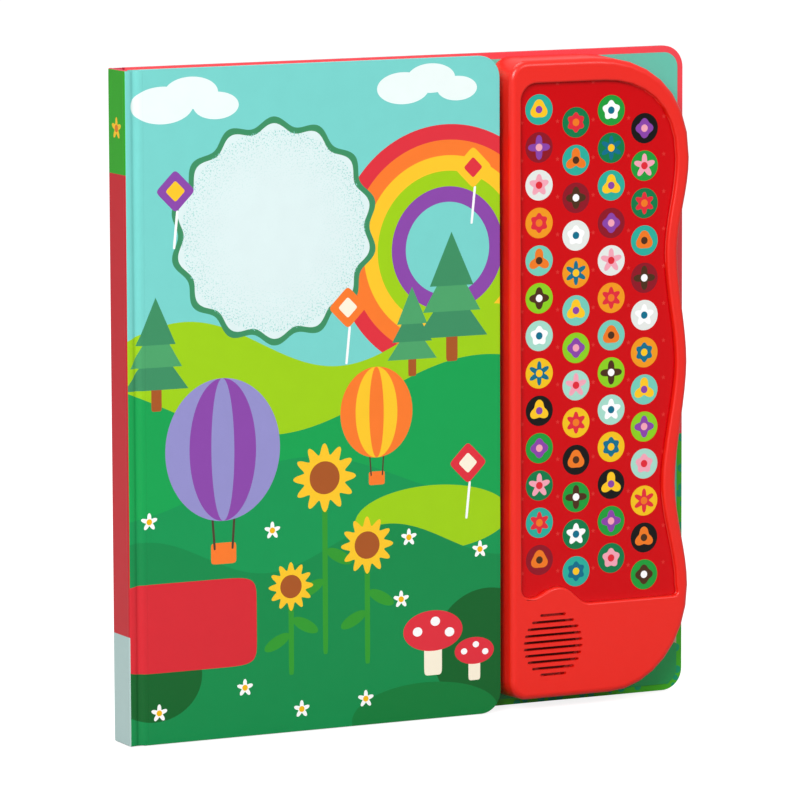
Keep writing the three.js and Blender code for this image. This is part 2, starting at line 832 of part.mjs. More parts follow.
// Two cells lie side by side and head to tail; each spring stands behind a negative end
for (const [number, side] of [[1, -1], [2, 1]]) {
  const z = boxMiddle + side * (batteryPitch / 2);
  const towards = -side;
  const leftContact = bayLeft + contactThickness + clearance;
  const rightContact = bayRight - contactThickness - clearance;
  const nubTip = side < 0 ? leftContact : rightContact;
  const cell = named(`battery_${number}`, batteryGeometry(), finishes.battery);
  cell.rotation.z = side < 0 ? Math.PI / 2 : -Math.PI / 2;
  cell.position.set(nubTip + towards * batteryLength, batteryY, z);
  const springRoom = batteryBay - batteryLength - 2 * contactThickness - 3 * clearance - springWire;
  const spring = named(`battery_spring_${number}`, springGeometry(springRoom), finishes.steel);
  spring.rotation.z = side < 0 ? Math.PI : 0;
  const springFoot = side < 0 ? rightContact : leftContact;
  spring.position.set(springFoot + side * (springWire / 2), batteryY, z);
  soundModule.add(cell, spring);
}

const contactPlus = named('battery_contact_plus', contactGeometry(), finishes.steel);
contactPlus.position.set(bayLeft, 0, boxMiddle - batteryPitch / 2);
const contactMinus = named('battery_contact_minus', contactGeometry(), finishes.steel);
contactMinus.position.set(bayLeft, 0, boxMiddle + batteryPitch / 2);
const bridge = named('battery_bridge', bridgeGeometry(), finishes.steel);
bridge.position.set(bayRight, 0, boxMiddle);
soundModule.add(contactPlus, contactMinus, bridge);

const doorScrew = named('battery_door_screw', screwGeometry(doorScrewHead, doorScrewLength), finishes.steel);
doorScrew.position.set(doorScrewX, doorFace, boxMiddle);
soundModule.add(doorScrew);

bossCentres().forEach((centre, i) => {
  const screw = named(`housing_screw_${i + 1}`, screwGeometry(screwHeadHeight, screwLength), finishes.steel);
  screw.position.set(centre.x, liningFace - screwSink, centre.y);
  soundModule.add(screw);
});

book.add(bookCase, soundModule);

export default book;
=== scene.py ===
import math

import bmesh
import bpy
from mathutils import Matrix, Vector


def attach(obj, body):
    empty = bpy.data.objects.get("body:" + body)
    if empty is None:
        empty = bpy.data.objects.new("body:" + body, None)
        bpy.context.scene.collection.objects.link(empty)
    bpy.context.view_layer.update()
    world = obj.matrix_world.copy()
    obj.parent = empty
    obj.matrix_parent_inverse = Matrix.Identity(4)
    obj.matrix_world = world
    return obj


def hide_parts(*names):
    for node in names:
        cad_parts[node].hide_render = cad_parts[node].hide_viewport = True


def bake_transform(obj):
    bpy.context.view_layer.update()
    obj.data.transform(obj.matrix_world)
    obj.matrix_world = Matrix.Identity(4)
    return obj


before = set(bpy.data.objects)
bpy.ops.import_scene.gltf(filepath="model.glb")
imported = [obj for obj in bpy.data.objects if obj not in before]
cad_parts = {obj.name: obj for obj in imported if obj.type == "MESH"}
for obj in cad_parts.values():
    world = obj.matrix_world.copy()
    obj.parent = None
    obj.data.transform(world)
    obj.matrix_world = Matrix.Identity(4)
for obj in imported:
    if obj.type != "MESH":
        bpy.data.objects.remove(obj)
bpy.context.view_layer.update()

# Sizes of the book in millimetres: X from the spine, Y from the front cover, Z up
MM = 0.001
BACK_WIDTH = 287
BOOK_DEPTH = 18
MODULE_PROUD = 4
COVER_HEIGHT = 300
GROOVE_END = 7
SPINE_BOARD = 2
BACK_BOARD = 3
ORIGIN_X = BACK_WIDTH / 2
ORIGIN_Y = (BOOK_DEPTH - MODULE_PROUD) / 2
MODULE_FRONT = -MODULE_PROUD
SPEAKER_X = 209.5
SPEAKER_Z = 29.9
GRILLE_RADIUS = 16
DOOR_LEFT = 196
DOOR_RIGHT = 268
DOOR_FOOT = 60
DOOR_TOP = 100

# Colours that the printed papers share
SKY = "77d3cc"
BACK_SKY = "5fc3ba"
LIME = "9ed000"
DEEP_MEADOW = "018a48"
YELLOW = "fdc823"
RED = "e02b3a"
ORANGE = "fa7a26"
PURPLE = "8a44a8"
CREAM = "fdf3dc"
WHITE = "ffffff"
FIR = "398e60"
PALE_FIR = "4aa368"
BARK = "a8541c"
STEM = "2e9a2a"
ENDPAPER = "65c4ae"
TURN_IN = "d8304a"

MATH = "ShaderNodeMath"
VECTOR = "ShaderNodeVectorMath"


def place(x, y, z):
    """A point of the book, in millimetres, as a point of the row frame in metres."""
    return Vector(((x - ORIGIN_X) * MM, (y - ORIGIN_Y) * MM, z * MM))


def book_point(vertex):
    """A vertex in the book's own millimetres."""
    return vertex.co.x / MM + ORIGIN_X, vertex.co.y / MM + ORIGIN_Y, vertex.co.z / MM


def linear(colour):
    """An sRGB hex colour as linear red, green, blue and alpha."""
    channels = [int(colour[i:i + 2], 16) / 255 for i in (0, 2, 4)]
    return [c / 12.92 if c <= 0.04045 else ((c + 0.055) / 1.055) ** 2.4 for c in channels] + [1.0]


def add(tree, kind, inputs=(), out=0, **settings):
    """Add a node with its settings, set or link its inputs, and give back one of its outputs."""
    node = tree.nodes.new(kind)
    for name, setting in settings.items():
        setattr(node, name, setting)
    pairs = inputs.items() if isinstance(inputs, dict) else enumerate(inputs)
    for socket, value in pairs:
        if isinstance(value, bpy.types.NodeSocket):
            tree.links.new(value, node.inputs[socket])
        else:
            node.inputs[socket].default_value = value
    return node.outputs[out]


def bloom_mask(tree, near, petals, swing, middle):
    """Inside a flower or star: its edge swings about a middle radius with the angle."""
    across = add(tree, VECTOR, (near, (1, 0, 0)), "Value", operation="DOT_PRODUCT")
    up = add(tree, VECTOR, (near, (0, 0, 1)), "Value", operation="DOT_PRODUCT")
    angle = add(tree, MATH, (across, up), operation="ARCTAN2")
    wave = add(tree, MATH, (add(tree, MATH, (angle, petals), operation="MULTIPLY"),), operation="COSINE")
    edge = add(tree, MATH, (wave, swing, middle), operation="MULTIPLY_ADD")
    distance = add(tree, VECTOR, (near,), "Value", operation="LENGTH")
    return add(tree, MATH, (distance, edge), operation="LESS_THAN")


class Print:
    """A printed picture: shapes are laid over each other on the paper's X and Z, in millimetres.

    A picture has over a hundred shapes, so each shape's point comes straight from a mapping and
    its parts from dot products: they are worked out one by one and never all held at once.
    """

    FLATTEN = 1e6

    def __init__(self, tree, ground):
        self.tree = tree
        self.object = add(tree, "ShaderNodeTexCoord", out="Object")
        self.points = {}
        self.point = self.turned(0)
        self.x = add(tree, "ShaderNodeSeparateXYZ", (self.point,), "X")
        self.z = add(tree, "ShaderNodeSeparateXYZ", (self.point,), "Z")
        self.colour = linear(ground)

    def turned(self, turn):
        """The paper's own X and Z in millimetres, turned about the book's corner; Y is flattened."""
        if turn not in self.points:
            corner = (-ORIGIN_X * MM, 0, 0)
            angles = (0, math.radians(turn), 0)
            scale = (MM, self.FLATTEN, MM)
            inputs = (self.object, corner, angles, scale)
            self.points[turn] = add(self.tree, "ShaderNodeMapping", inputs, vector_type="TEXTURE")
        return self.points[turn]

    def book_y(self):
        across = add(self.tree, "ShaderNodeSeparateXYZ", (self.object,), "Y")
        return add(self.tree, MATH, (across, 1 / MM, ORIGIN_Y), operation="MULTIPLY_ADD")

    def local(self, x, z, wide, tall, turn=0):
        """The point measured from a shape's centre, turned upright, 1 at the shape's edge."""
        centre = Matrix.Rotation(math.radians(turn), 3, "Y").inverted() @ Vector((x, 0, z))
        scale = (2 / wide, 0, 2 / tall)
        shift = (-centre.x * scale[0], 0, -centre.z * scale[2])
        return add(self.tree, VECTOR, (self.turned(turn), scale, shift), operation="MULTIPLY_ADD")

    def lay(self, mask, colour, cover=1.0):
        if cover < 1.0:
            mask = add(self.tree, MATH, (mask, cover), operation="MULTIPLY")
        paint = linear(colour) if isinstance(colour, str) else colour
        layers = {0: mask, 6: self.colour, 7: paint}
        self.colour = add(self.tree, "ShaderNodeMix", layers, 2, data_type="RGBA")

    def oval(self, x, z, wide, tall, colour, turn=0):
        distance = add(self.tree, VECTOR, (self.local(x, z, wide, tall, turn),), "Value", operation="LENGTH")
        self.lay(add(self.tree, MATH, (distance, 1.0), operation="LESS_THAN"), colour)

    def bar(self, x, z, wide, tall, colour, turn=0):
        """A bar with rounded corners: a superellipse of the eighth power."""
        near = self.local(x, z, wide, tall, turn)
        square = add(self.tree, VECTOR, (near, near), operation="MULTIPLY")
        fourth = add(self.tree, VECTOR, (square, square), operation="MULTIPLY")
        eighth = add(self.tree, VECTOR, (fourth, fourth), "Value", operation="DOT_PRODUCT")
        self.lay(add(self.tree, MATH, (eighth, 1.0), operation="LESS_THAN"), colour)

    def peak(self, x, z, wide, tall, colour):
        """A triangle that stands on its base."""
        near = self.local(x, z, wide, tall)
        folded = add(self.tree, VECTOR, (near,), operation="ABSOLUTE")
        across = add(self.tree, VECTOR, (folded, (1, 0, 0)), "Value", operation="DOT_PRODUCT")
        up = add(self.tree, VECTOR, (near, (0, 0, 1)), "Value", operation="DOT_PRODUCT")
        slope = add(self.tree, MATH, (up, 0.5, across), operation="MULTIPLY_ADD")
        above = add(self.tree, MATH, (up, -1.0), operation="GREATER_THAN")
        below = add(self.tree, MATH, (slope, 0.5), operation="LESS_THAN")
        self.lay(add(self.tree, MATH, (below, above), operation="MULTIPLY"), colour)

    def hill(self, level, rise, length, shift, colour):
        """Everything below a rolling crest."""
        angle = add(self.tree, MATH, (self.x, 2 * math.pi / length, shift), operation="MULTIPLY_ADD")
        roll = add(self.tree, MATH, (angle,), operation="SINE")
        crest = add(self.tree, MATH, (roll, rise, level), operation="MULTIPLY_ADD")
        self.lay(add(self.tree, MATH, (self.z, crest), operation="LESS_THAN"), colour)

    def bloom(self, x, z, size, petals, swing, colour):
        near = self.local(x, z, size, size)
        self.lay(bloom_mask(self.tree, near, petals, swing, 1 - swing), colour)

    def band(self, low, high, colour):
        above = add(self.tree, MATH, (self.z, low), operation="GREATER_THAN")
        below = add(self.tree, MATH, (self.z, high), operation="LESS_THAN")
        self.lay(add(self.tree, MATH, (above, below), operation="MULTIPLY"), colour)


# Motifs of the meadow picture; each is drawn round or above the place that it is given
def flower(picture, x, z, size, petals=WHITE, heart="f5ba00"):
    picture.bloom(x, z, size, 5, 0.28, petals)
    picture.oval(x, z, size * 0.34, size * 0.34, heart)


def fir_tree(picture, x, foot, height, crown, shade):
    picture.bar(x, foot + height * 0.1, height * 0.1, height * 0.24, BARK)
    for level, wide, colour in ((0.38, 0.62, crown), (0.58, 0.5, shade), (0.78, 0.38, crown)):
        picture.peak(x, foot + height * level, height * wide, height * 0.42, colour)


def mushroom(picture, x, foot, size):
    picture.bar(x, foot + size * 0.3, size * 0.3, size * 0.6, CREAM)
    picture.oval(x, foot + size * 0.68, size, size * 0.62, RED)
    for across, up in ((-0.26, 0.68), (0.04, 0.82), (0.28, 0.64)):
        picture.oval(x + across * size, foot + up * size, size * 0.16, size * 0.14, WHITE)


def kite(picture, x, z, size, colour, spot):
    picture.bar(x, z - size, size * 0.07, size, WHITE, 6)
    picture.bar(x, z, size * 0.8, size * 0.8, colour, 45)
    picture.bar(x, z, size * 0.4, size * 0.4, spot, 45)


def air_balloon(picture, x, z, size, main, stripe):
    picture.bar(x, z - size * 0.83, size * 0.22, size * 0.17, ORANGE)
    picture.bar(x - size * 0.09, z - size * 0.62, size * 0.02, size * 0.36, "4c3a2a", -4)
    picture.bar(x + size * 0.09, z - size * 0.62, size * 0.02, size * 0.36, "4c3a2a", 4)
    picture.oval(x, z, size, size * 1.14, main)
    picture.oval(x, z, size * 0.58, size * 1.14, stripe)
    picture.oval(x, z, size * 0.2, size * 1.14, main)


def sunflower(picture, x, foot, height, head):
    picture.bar(x, foot + height / 2, 2.6, height, STEM)
    picture.oval(x - 7, foot + height * 0.38, 14, 5.5, STEM, -28)
    picture.oval(x + 7, foot + height * 0.55, 14, 5.5, STEM, 28)
    picture.bloom(x, foot + height, head, 12, 0.16, YELLOW)
    picture.oval(x, foot + height, head * 0.48, head * 0.48, BARK)


def rainbow(picture, x, z, size, step):
    for i, colour in enumerate((RED, ORANGE, YELLOW, LIME, PURPLE, SKY)):
        picture.oval(x, z, size - step * i, size - step * i, colour)


def bare_panel(picture, x, z, size):
    """A pale scalloped panel with fine speckles that grow denser towards its rim."""
    tree = picture.tree
    picture.bloom(x, z, size + 6, 14, 0.04, FIR)
    picture.bloom(x, z, size, 14, 0.04, "dff1f1")
    grain = add(tree, "ShaderNodeTexNoise", {"Vector": picture.point, "Scale": 1.3, "Detail": 2.0})
    dots = add(tree, MATH, (grain, 0.58), operation="GREATER_THAN")
    near = picture.local(x, z, size - 6, size - 6)
    distance = add(tree, VECTOR, (near,), "Value", operation="LENGTH")
    reach = add(tree, MATH, (distance, 1.0), operation="MINIMUM")
    density = add(tree, MATH, (reach, 4), operation="POWER")
    inside = add(tree, MATH, (distance, 1.0), operation="LESS_THAN")
    speckles = add(tree, MATH, (dots, inside), operation="MULTIPLY")
    picture.lay(add(tree, MATH, (speckles, density), operation="MULTIPLY"), "8fd4cd")


def front_picture(tree):
    """A balloon meadow with a rainbow, in the colours and at the scale of a nursery picture."""
    picture = Print(tree, SKY)
    rainbow(picture, 158, 214, 112, 14)
    for x, z, wide in ((18, 284, 30), (32, 289, 26), (44, 283, 22),
                       (136, 287, 26), (150, 291, 24), (163, 286, 20)):
        picture.oval(x, z, wide, wide * 0.55, "eefaf8")
    picture.hill(176, 12, 150, 0.4, LIME)
    picture.hill(150, 15, 210, 2.6, "00a24e")
    fir_tree(picture, 160, 164, 58, FIR, PALE_FIR)
    fir_tree(picture, 140, 158, 40, PALE_FIR, FIR)
    bare_panel(picture, 72, 226, 96)
    fir_tree(picture, 14, 150, 50, FIR, PALE_FIR)
    picture.hill(112, 12, 190, 5.0, "019650")
    picture.oval(150, 92, 78, 30, LIME)
    picture.hill(82, 9, 120, 1.2, DEEP_MEADOW)
    air_balloon(picture, 46, 130, 56, "938fcb", PURPLE)
    air_balloon(picture, 122, 142, 36, ORANGE, YELLOW)
    for x, foot, height, head in ((96, 34, 80, 31), (117, 28, 54, 26), (79, 26, 40, 22)):
        sunflower(picture, x, foot, height, head)
    picture.oval(12, 30, 46, 40, "016124")
    picture.oval(178, 30, 56, 56, "016124")
    picture.oval(146, 2, 74, 30, "017a36")
    picture.bar(29, 52, 66, 40, "d8232f")
    mushroom(picture, 150, 20, 30)
    mushroom(picture, 171, 16, 20)
    for x, z, colour, spot in ((24, 246, PURPLE, YELLOW), (171, 250, YELLOW, RED),
                               (168, 116, RED, CREAM), (108, 190, ORANGE, CREAM)):
        kite(picture, x, z, 17, colour, spot)
    for x, z in ((10, 100), (70, 92), (138, 84), (174, 76), (56, 22),
                 (84, 10), (134, 56), (14, 14), (116, 12)):
        flower(picture, x, z, 8)
    return picture


def spine_picture(tree):
    """Plain bands along the spine, one flower, turned-in red at the head, endpaper inside."""
    picture = Print(tree, "ca1e2a")
    picture.band(254, 400, "2fa81e")
    picture.band(-10, 49, "b7d1ce")
    picture.band(COVER_HEIGHT - 0.3, 400, TURN_IN)
    picture.lay(add(tree, MATH, (picture.x, SPINE_BOARD * 0.8), operation="GREATER_THAN"), ENDPAPER)
    picture.points[0] = add(tree, "ShaderNodeCombineXYZ", {0: picture.book_y(), 2: picture.z})
    picture.bloom(BOOK_DEPTH / 2, 274, 10, 5, 0.28, YELLOW)
    picture.oval(BOOK_DEPTH / 2, 274, 3.4, 3.4, "e07b1c")
    return picture


def back_hills(tree):
    picture = Print(tree, BACK_SKY)
    picture.hill(120, 14, 180, 1.0, LIME)
    picture.hill(92, 12, 230, 3.4, "01a052")
    picture.hill(48, 9, 160, 0.2, DEEP_MEADOW)
    return picture


def turned_in_paper(tree):
    """The cover paper that is folded over the back board: red above, leaves below."""
    folded = Print(tree, "43b81a")
    leaves = add(tree, "ShaderNodeTexVoronoi", {"Vector": folded.point, "Scale": 0.22}, "Distance")
    folded.lay(add(tree, MATH, (leaves, 0.42), operation="LESS_THAN"), "00a06e")
    high = add(tree, MATH, (folded.z, 120), operation="GREATER_THAN")
    inner_face = BOOK_DEPTH - BACK_BOARD + 0.25
    inside = add(tree, MATH, (folded.book_y(), inner_face), operation="LESS_THAN")
    folded.lay(high, "cd364c")
    folded.lay(add(tree, MATH, (high, inside), operation="MULTIPLY"), "f34650")
    return folded.colour


def back_picture(tree):
    """Sky and hills outside; folded-over cover paper on the edge and round the inside."""
    picture = back_hills(tree)
    for x, z in ((40, 210), (120, 245), (205, 222), (90, 168), (250, 176)):
        picture.oval(x, z, 34, 16, "e4f6f4")
        picture.oval(x + 10, z + 5, 24, 16, "e4f6f4")
    for x, z in ((40, 40), (90, 70), (150, 30), (230, 34), (268, 46)):
        flower(picture, x, z, 10)
    folded_over = add(tree, MATH, (picture.book_y(), BOOK_DEPTH - 0.5), operation="LESS_THAN")
    picture.lay(folded_over, turned_in_paper(tree))
    return picture


def endpaper_picture(tree):
    picture = Print(tree, ENDPAPER)
    picture.hill(64, 14, 160, 0.8, "249e54")
    picture.oval(283, 34, 22, 60, "bfb096")
    picture.hill(30, 14, 140, 3.6, "249e54")
    return picture


def with_spine_edge(draw):
    """The groove's picture, with the spine's own colours on the corner that it turns round."""
    def drawn(tree):
        cover = draw(tree)
        spine = spine_picture(tree)
        cover.lay(add(tree, MATH, (cover.x, 0.35), operation="LESS_THAN"), spine.colour)
        return cover
    return drawn


def new_material(name):
    material = bpy.data.materials.new(name)
    material.use_nodes = True
    tree = material.node_tree
    return material, tree, tree.nodes["Principled BSDF"]


def surface_bump(tree, shader, coordinates, grain, height, detail=3.0):
    """Fine unevenness of a surface; the grain is the width of one swelling in millimetres."""
    pattern = {"Vector": coordinates, "Scale": 1 / (grain * MM), "Detail": detail}
    swell = add(tree, "ShaderNodeTexNoise", pattern)
    normal = add(tree, "ShaderNodeBump", {"Height": swell, "Strength": 1.0, "Distance": height * MM})
    tree.links.new(normal, shader.inputs["Normal"])
    return swell


def mottled(tree, colour, coordinates, grain, amount):
    """The colour a little lighter and darker in soft patches."""
    pattern = {"Vector": coordinates, "Scale": 1 / (grain * MM), "Detail": 4.0}
    patch = add(tree, "ShaderNodeTexNoise", pattern)
    value = add(tree, "ShaderNodeMapRange", {0: patch, 3: 1 - amount, 4: 1 + amount})
    return add(tree, "ShaderNodeHueSaturation", {"Color": colour, "Value": value})


# Gloss-laminated offset print: a clear film over ink gives an even sheen, and the film follows
# the slow swelling of the greyboard beneath
def laminated_print(name, draw):
    material, tree, shader = new_material(name)
    picture = draw(tree)
    tree.links.new(mottled(tree, picture.colour, picture.object, 9, 0.03), shader.inputs["Base Color"])
    shader.inputs["Roughness"].default_value = 0.32
    shader.inputs["Specular IOR Level"].default_value = 0.4
    surface_bump(tree, shader, picture.object, 14, 0.06)
    return material


# Round prints in four staggered columns, small stars between them
COLUMNS = (203.7, 222.6, 240.8, 258.0)
DROPS = (0.0, 6.6, 1.8, 10.7)
FIRST_ROW = 274.8
ROW_PITCH = 17.15
ROWS = 13
DISC_RADIUS = 6.95
MOTIF_SCALE = 0.185
HEART_RADIUS = 1.7
STAR_PITCH = 18.3
DISC_GROUNDS = ("2aae9c", "f2991c", "a6dccb", "1f9c3a", "8e1424", "74ccba", "f3c31c", "0e7a48", "e6eae6",
                "8ccf1e", "121212")
MOTIF_COLOURS = (YELLOW, RED, WHITE, PURPLE, "f07a22", "0d6f8c", "f4a6b8", "4c2f1a")
HEART_COLOURS = MOTIF_COLOURS[3:] + MOTIF_COLOURS[:3]


def pick(tree, number, colours):
    """The colour with this number, counted round the list."""
    turn = add(tree, MATH, (number, len(colours)), operation="MODULO")
    middle = add(tree, MATH, (turn, 0.5), operation="ADD")
    position = add(tree, MATH, (middle, len(colours)), operation="DIVIDE")
    chosen = add(tree, "ShaderNodeValToRGB", (position,))
    ramp = chosen.node.color_ramp
    ramp.interpolation = "CONSTANT"
    while len(ramp.elements) < len(colours):
        ramp.elements.new(1.0)
    for i, colour in enumerate(colours):
        ramp.elements[i].position = i / len(colours)
        ramp.elements[i].color = linear(colour)
    return chosen


def nearest_column(tree, x):
    """The number, place and drop of the column that a place belongs to."""
    number = 0.0
    centre = COLUMNS[0]
    drop = DROPS[0]
    for i in range(1, len(COLUMNS)):
        middle = (COLUMNS[i] + COLUMNS[i - 1]) / 2
        past = add(tree, MATH, (x, middle), operation="GREATER_THAN")
        number = add(tree, MATH, (past, number), operation="ADD")
        centre = add(tree, MATH, (past, COLUMNS[i] - COLUMNS[i - 1], centre), operation="MULTIPLY_ADD")
        drop = add(tree, MATH, (past, DROPS[i] - DROPS[i - 1], drop), operation="MULTIPLY_ADD")
    return number, centre, drop


def nearest_row(tree, z, drop):
    """The number and height of the row that a place belongs to."""
    top = add(tree, MATH, (FIRST_ROW, drop), operation="SUBTRACT")
    below = add(tree, MATH, (top, z), operation="SUBTRACT")
    pitches = add(tree, MATH, (below, ROW_PITCH), operation="DIVIDE")
    nearest = add(tree, MATH, (pitches,), operation="ROUND")
    row = add(tree, MATH, (nearest, ROWS - 1), operation="MINIMUM")
    row = add(tree, MATH, (row, 0), operation="MAXIMUM")
    down = add(tree, MATH, (row, ROW_PITCH), operation="MULTIPLY")
    return row, add(tree, MATH, (top, down), operation="SUBTRACT")


def film_stars(picture):
    tree = picture.tree
    across = add(tree, MATH, (picture.x, (COLUMNS[0] + COLUMNS[1]) / 2), operation="SUBTRACT")
    up = add(tree, MATH, (picture.z, FIRST_ROW - ROW_PITCH / 3), operation="SUBTRACT")
    across = add(tree, MATH, (across, STAR_PITCH / 2, -STAR_PITCH / 2), operation="WRAP")
    up = add(tree, MATH, (up, ROW_PITCH / 2, -ROW_PITCH / 2), operation="WRAP")
    cell = add(tree, "ShaderNodeCombineXYZ", {0: across, 2: up})
    picture.lay(bloom_mask(tree, cell, 5, 0.3, 0.7), "f05a50", 0.3)


def disc_prints(picture):
    """Coloured discs, each with a blossom or star; row and column set its colours and petals."""
    tree = picture.tree
    column, centre_x, drop = nearest_column(tree, picture.x)
    row, centre_z = nearest_row(tree, picture.z, drop)
    across = add(tree, MATH, (picture.x, centre_x), operation="SUBTRACT")
    up = add(tree, MATH, (picture.z, centre_z), operation="SUBTRACT")
    near = add(tree, "ShaderNodeCombineXYZ", {0: across, 2: up})
    distance = add(tree, VECTOR, (near,), "Value", operation="LENGTH")

    seventh = add(tree, MATH, (column, 7), operation="MULTIPLY")
    ground = pick(tree, add(tree, MATH, (row, 4, seventh), operation="MULTIPLY_ADD"), DISC_GROUNDS)
    picture.lay(add(tree, MATH, (distance, DISC_RADIUS), operation="LESS_THAN"), ground)

    third = add(tree, MATH, (column, 3), operation="MULTIPLY")
    order = add(tree, MATH, (row, 5, third), operation="MULTIPLY_ADD")
    fours = add(tree, MATH, (order, 4), operation="MODULO")
    petals = add(tree, MATH, (fours, 3), operation="ADD")
    threes = add(tree, MATH, (order, 3), operation="MODULO")
    swing = add(tree, MATH, (threes, 0.09, 0.1), operation="MULTIPLY_ADD")
    shape = add(tree, VECTOR, (near, (MOTIF_SCALE, 0, MOTIF_SCALE)), operation="MULTIPLY")
    kind = add(tree, MATH, (row, 3, column), operation="MULTIPLY_ADD")
    picture.lay(bloom_mask(tree, shape, petals, swing, 0.75), pick(tree, kind, MOTIF_COLOURS))
    heart = add(tree, MATH, (distance, HEART_RADIUS), operation="LESS_THAN")
    picture.lay(heart, pick(tree, kind, HEART_COLOURS))


# Screen-printed polyester film: smooth and glossy, with a slow waviness from the soft keys behind
def film_material():
    material, tree, shader = new_material("printed_polyester_film")
    picture = Print(tree, "ce0009")
    film_stars(picture)
    disc_prints(picture)
    tree.links.new(picture.colour, shader.inputs["Base Color"])
    shader.inputs["Roughness"].default_value = 0.16
    shader.inputs["Specular IOR Level"].default_value = 0.25
    surface_bump(tree, shader, picture.object, 30, 0.12, 1.0)
    return material


def plain(name, colour, roughness, grain, height, metallic=0.0, amount=0.04, ior=1.5):
    """A one-colour finish with a fine grain in millimetres that also moves the roughness."""
    material, tree, shader = new_material(name)
    coordinates = add(tree, "ShaderNodeTexCoord", out="Object")
    base = mottled(tree, linear(colour), coordinates, grain * 6, amount)
    tree.links.new(base, shader.inputs["Base Color"])
    shader.inputs["Metallic"].default_value = metallic
    shader.inputs["IOR"].default_value = ior
    grit = surface_bump(tree, shader, coordinates, grain, height)
    rough = add(tree, "ShaderNodeMapRange", {0: grit, 3: roughness * 0.85, 4: roughness * 1.15})
    tree.links.new(rough, shader.inputs["Roughness"])
    return material


# Coated board leaves: off-white and nearly matt, with fine fibre lines along the cut edges
def page_material():
    material, tree, shader = new_material("coated_board_leaves")
    coordinates = add(tree, "ShaderNodeTexCoord", out="Object")
    stretched = add(tree, VECTOR, (coordinates, (1, 30, 1)), operation="MULTIPLY")
    fibres = add(tree, "ShaderNodeTexNoise", {"Vector": stretched, "Scale": 220.0, "Detail": 4.0})
    tone = add(tree, "ShaderNodeMapRange", {0: fibres, 3: 0.97, 4: 1.03})
    shade = add(tree, "ShaderNodeHueSaturation", {"Color": linear("efeadf"), "Value": tone})
    tree.links.new(shade, shader.inputs["Base Color"])
    shader.inputs["Roughness"].default_value = 0.6
    normal = add(tree, "ShaderNodeBump", {"Height": fibres, "Strength": 1.0, "Distance": 0.05 * MM})
    tree.links.new(normal, shader.inputs["Normal"])
    return material


# Telephoto view from the spine side, a little above the book
CAMERA_PLACE = (-1.2164, -2.4334, 0.5033)
CAMERA_YAW = 26.442
CAMERA_PITCH = -7.496
CAMERA_ROLL = -0.227
FOCAL_PIXELS = 6083.3
PICTURE_WIDTH = 800
SENSOR_WIDTH = 36


def scene_camera():
    yaw = math.radians(CAMERA_YAW)
    pitch = math.radians(CAMERA_PITCH)
    roll = math.radians(CAMERA_ROLL)
    forward = Vector((math.sin(yaw) * math.cos(pitch), math.cos(yaw) * math.cos(pitch), math.sin(pitch)))
    level = Vector((math.cos(yaw), -math.sin(yaw), 0))
    upright = level.cross(forward)
    right = math.cos(roll) * level + math.sin(roll) * upright
    up = math.cos(roll) * upright - math.sin(roll) * level
    data = bpy.data.cameras.new("camera")
    data.sensor_width = SENSOR_WIDTH
    data.lens = FOCAL_PIXELS / PICTURE_WIDTH * SENSOR_WIDTH
    data.clip_end = 100
    camera = bpy.data.objects.new("camera", data)
    bpy.context.scene.collection.objects.link(camera)
    turned = Matrix((right, up, -forward)).transposed().to_4x4()
    camera.matrix_world = Matrix.Translation(Vector(CAMERA_PLACE)) @ turned
    bpy.context.scene.camera = camera


def soft_light(name, position, size, power):
    data = bpy.data.lights.new(name, "AREA")
    data.size = size
    data.energy = power
    lamp = bpy.data.objects.new(name, data)
    bpy.context.scene.collection.objects.link(lamp)
    lamp.location = position
    aim = Vector((0, 0, COVER_HEIGHT * MM / 2)) - Vector(position)
    lamp.rotation_euler = aim.to_track_quat("-Z", "Y").to_euler()


def white_world():
    """Plain light at half strength that the camera sees as white."""
    world = bpy.data.worlds.new("studio")
    bpy.context.scene.world = world
    world.use_nodes = True
    tree = world.node_tree
    background = tree.nodes["Background"]
    seen = add(tree, "ShaderNodeLightPath", out="Is Camera Ray")
    strength = add(tree, MATH, (seen, 0.5, 0.5), operation="MULTIPLY_ADD")
    background.inputs["Color"].default_value = (1, 1, 1, 1)
    tree.links.new(strength, background.inputs["Strength"])


def white_floor():
    """A matt floor that the camera sees as white, apart from the book's shadow."""
    bpy.ops.mesh.primitive_plane_add(size=30, location=(0, 0, -0.0005))
    floor = bpy.context.object
    floor.name = "floor"
    material, tree, shader = new_material("white_floor")
    shader.inputs["Base Color"].default_value = (0.35, 0.35, 0.35, 1)
    shader.inputs["Roughness"].default_value = 0.9
    shader.inputs["Specular IOR Level"].default_value = 0.1
    shader.inputs["Emission Color"].default_value = (1, 1, 1, 1)
    seen = add(tree, "ShaderNodeLightPath", out="Is Camera Ray")
    glow = add(tree, MATH, (seen, 0.85), operation="MULTIPLY")
    tree.links.new(glow, shader.inputs["Emission Strength"])
    floor.data.materials.append(material)


def studio():
    soft_light("key", (-2.0, -2.1, 1.7), 1.4, 72)
    soft_light("fill", (1.2, -2.6, 1.9), 1.2, 22)
    soft_light("top", (-0.3, 0.4, 2.4), 1.6, 24)
    white_world()
    white_floor()


# Pieces that keep the form of a CAD node and get soft edges
def only(piece):
    bpy.ops.object.select_all(action="DESELECT")
    piece.select_set(True)
    bpy.context.view_layer.objects.active = piece


def start_editing(piece, mode):
    only(piece)
    bpy.ops.object.mode_set(mode="EDIT")
    bpy.ops.mesh.select_mode(type=mode)
    bpy.ops.mesh.select_all(action="DESELECT")
    return bmesh.from_edit_mesh(piece.data)


def stop_editing():
    bpy.ops.mesh.select_all(action="DESELECT")
    bpy.ops.object.mode_set(mode="OBJECT")


